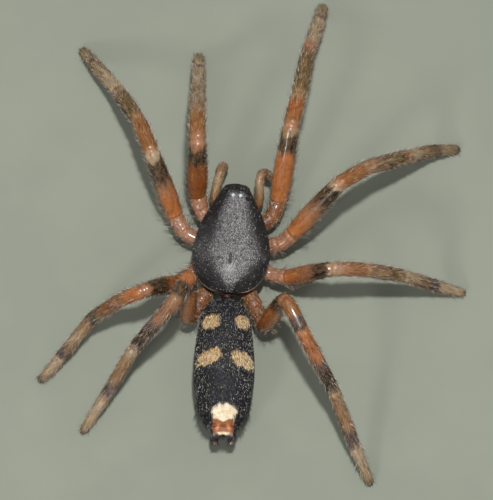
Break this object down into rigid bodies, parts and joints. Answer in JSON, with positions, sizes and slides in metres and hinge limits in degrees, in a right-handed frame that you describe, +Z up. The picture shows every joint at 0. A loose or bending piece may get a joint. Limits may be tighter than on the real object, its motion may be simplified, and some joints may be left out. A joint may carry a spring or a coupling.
{
  "type": "white-tail spider",
  "caption": "Slender ground-hunting spider standing with its legs spread, dark long abdomen with paired pale spots and a pale tail patch.",
  "frame": {"origin": "middle of the bounding box in plan, on the floor under the feet", "axes": "+Z up, +Y towards the head, +X towards the spider's own right side"},
  "size_m": [0.0216, 0.0256, 0.0064],
  "materials": {
    "black_shell": "near-black hard shell with a soft shine",
    "brown_skin": "dark red-brown shell",
    "orange_shell": "glossy orange-brown shell",
    "orange_skin": "soft orange skin with a satin shine",
    "tan_skin": "tan skin, finely haired",
    "black_skin": "soft charcoal skin with short hair",
    "grey_skin": "dull grey skin"
  },
  "bodies": {
    "root": {"carapace": "black_shell", "sternum": "brown_skin", "pedicel": "orange_skin", "abdomen": "black_skin", "spinneret_lower_left": "grey_skin", "spinneret_lower_right": "grey_skin", "spinneret_upper_left": "grey_skin", "spinneret_upper_right": "grey_skin", "chelicera_left": "black_shell", "palp_left_base": "brown_skin", "palp_left_femur": "orange_skin", "palp_left_tibia": "orange_skin", "palp_left_tarsus": "tan_skin", "chelicera_right": "black_shell", "palp_right_base": "brown_skin", "palp_right_femur": "orange_skin", "palp_right_tibia": "orange_skin", "palp_right_tarsus": "tan_skin", "leg_left_1_coxa": "orange_shell", "leg_left_1_femur": "orange_shell", "leg_left_1_patella": "orange_shell", "leg_left_1_tibia": "tan_skin", "leg_left_1_foot": "tan_skin", "leg_left_2_coxa": "orange_shell", "leg_left_2_femur": "orange_shell", "leg_left_2_patella": "orange_shell", "leg_left_2_tibia": "tan_skin", "leg_left_2_foot": "tan_skin", "leg_left_3_coxa": "orange_shell", "leg_left_3_femur": "orange_shell", "leg_left_3_patella": "orange_shell", "leg_left_3_tibia": "tan_skin", "leg_left_3_foot": "tan_skin", "leg_left_4_coxa": "orange_shell", "leg_left_4_femur": "orange_shell", "leg_left_4_patella": "orange_shell", "leg_left_4_tibia": "tan_skin", "leg_left_4_foot": "tan_skin", "leg_right_1_coxa": "orange_shell", "leg_right_1_femur": "orange_shell", "leg_right_1_patella": "orange_shell", "leg_right_1_tibia": "tan_skin", "leg_right_1_foot": "tan_skin", "leg_right_2_coxa": "orange_shell", "leg_right_2_femur": "orange_shell", "leg_right_2_patella": "orange_shell", "leg_right_2_tibia": "tan_skin", "leg_right_2_foot": "tan_skin", "leg_right_3_coxa": "orange_shell", "leg_right_3_femur": "orange_shell", "leg_right_3_patella": "orange_shell", "leg_right_3_tibia": "tan_skin", "leg_right_3_foot": "tan_skin", "leg_right_4_coxa": "orange_shell", "leg_right_4_femur": "orange_shell", "leg_right_4_patella": "orange_shell", "leg_right_4_tibia": "tan_skin", "leg_right_4_foot": "tan_skin"}
  },
  "joints": []
}
